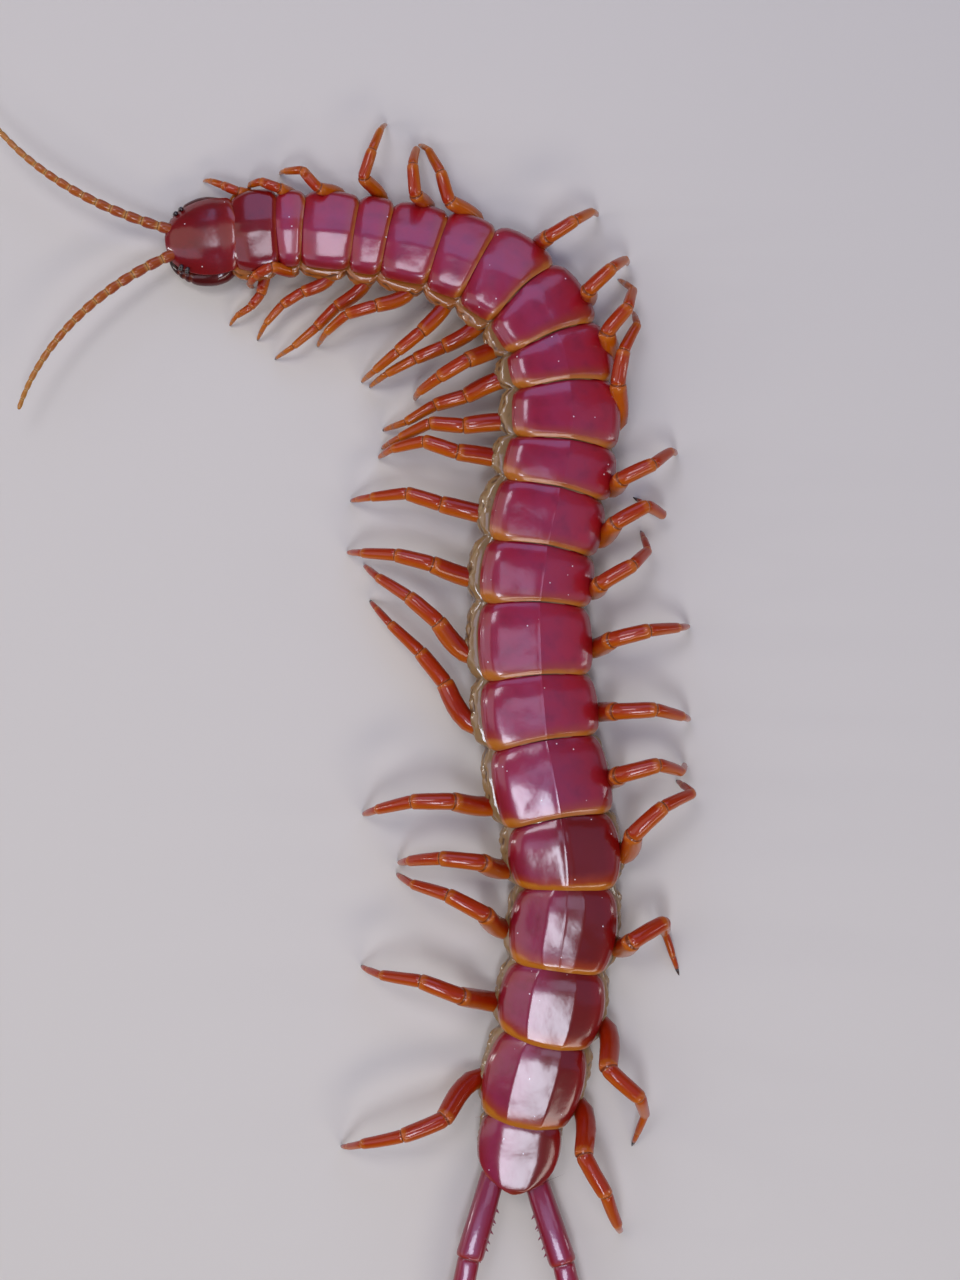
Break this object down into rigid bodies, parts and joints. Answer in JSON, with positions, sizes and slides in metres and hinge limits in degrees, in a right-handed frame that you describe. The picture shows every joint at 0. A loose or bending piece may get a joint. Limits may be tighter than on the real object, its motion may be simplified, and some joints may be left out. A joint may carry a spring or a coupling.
{
  "type": "giant centipede model",
  "caption": "Life-size still model of a giant centipede walking, its flat plated trunk bent to one side, with legs, feelers, venom claws and long trailing last legs.",
  "frame": {"origin": "on the floor, below the middle of the model's bounding box", "axes": "+Z up, +Y along the longer side of the pose towards the head end, +X to the right when the model is seen from above with +Y up; the head faces -X"},
  "size_m": [0.1431, 0.2691, 0.0176],
  "materials": {
    "back_plate_cuticle": "glossy maroon cuticle, paler and amber along the rear edges, with soft grey-amber flanks",
    "head_cuticle": "glossy deep red cuticle",
    "leg_cuticle": "glossy orange-red cuticle, amber at the joints and feet",
    "last_leg_cuticle": "glossy purple-maroon cuticle",
    "antenna_cuticle": "finely haired amber-brown cuticle, glossy on the first joints",
    "mouthpart_cuticle": "satin amber cuticle",
    "forcipule_cuticle": "glossy dark red cuticle with black tips"
  },
  "bodies": {
    "root": {"trunk_1": "back_plate_cuticle", "trunk_2": "back_plate_cuticle", "trunk_3": "back_plate_cuticle", "trunk_4": "back_plate_cuticle", "trunk_5": "back_plate_cuticle", "trunk_6": "back_plate_cuticle", "trunk_7": "back_plate_cuticle", "leg_left_01": "leg_cuticle", "leg_right_01": "leg_cuticle", "leg_left_02": "leg_cuticle", "leg_right_02": "leg_cuticle", "leg_left_03": "leg_cuticle", "leg_right_03": "leg_cuticle", "leg_left_04": "leg_cuticle", "leg_right_04": "leg_cuticle", "leg_left_05": "leg_cuticle", "leg_right_05": "leg_cuticle", "leg_left_06": "leg_cuticle", "leg_right_06": "leg_cuticle", "leg_left_07": "leg_cuticle", "leg_right_07": "leg_cuticle", "leg_left_08": "leg_cuticle", "leg_right_08": "leg_cuticle", "leg_left_09": "leg_cuticle", "leg_right_09": "leg_cuticle", "leg_left_10": "leg_cuticle", "leg_right_10": "leg_cuticle", "leg_left_11": "leg_cuticle", "leg_right_11": "leg_cuticle", "leg_left_12": "leg_cuticle", "leg_right_12": "leg_cuticle", "leg_left_13": "leg_cuticle", "leg_right_13": "leg_cuticle", "leg_left_14": "leg_cuticle", "leg_right_14": "leg_cuticle", "leg_left_15": "leg_cuticle", "leg_right_15": "leg_cuticle", "leg_left_16": "leg_cuticle", "leg_right_16": "leg_cuticle", "leg_left_17": "leg_cuticle", "leg_right_17": "leg_cuticle", "leg_left_18": "leg_cuticle", "leg_right_18": "leg_cuticle", "leg_left_19": "leg_cuticle", "leg_right_19": "leg_cuticle", "leg_left_20": "leg_cuticle", "leg_right_20": "leg_cuticle", "ultimate_leg_left": "last_leg_cuticle", "ultimate_leg_right": "last_leg_cuticle", "head": "head_cuticle", "mouthparts": "mouthpart_cuticle", "forcipule_base": "forcipule_cuticle", "forcipule_left": "forcipule_cuticle", "forcipule_right": "forcipule_cuticle", "antenna_left": "antenna_cuticle", "antenna_right": "antenna_cuticle"}
  },
  "joints": []
}
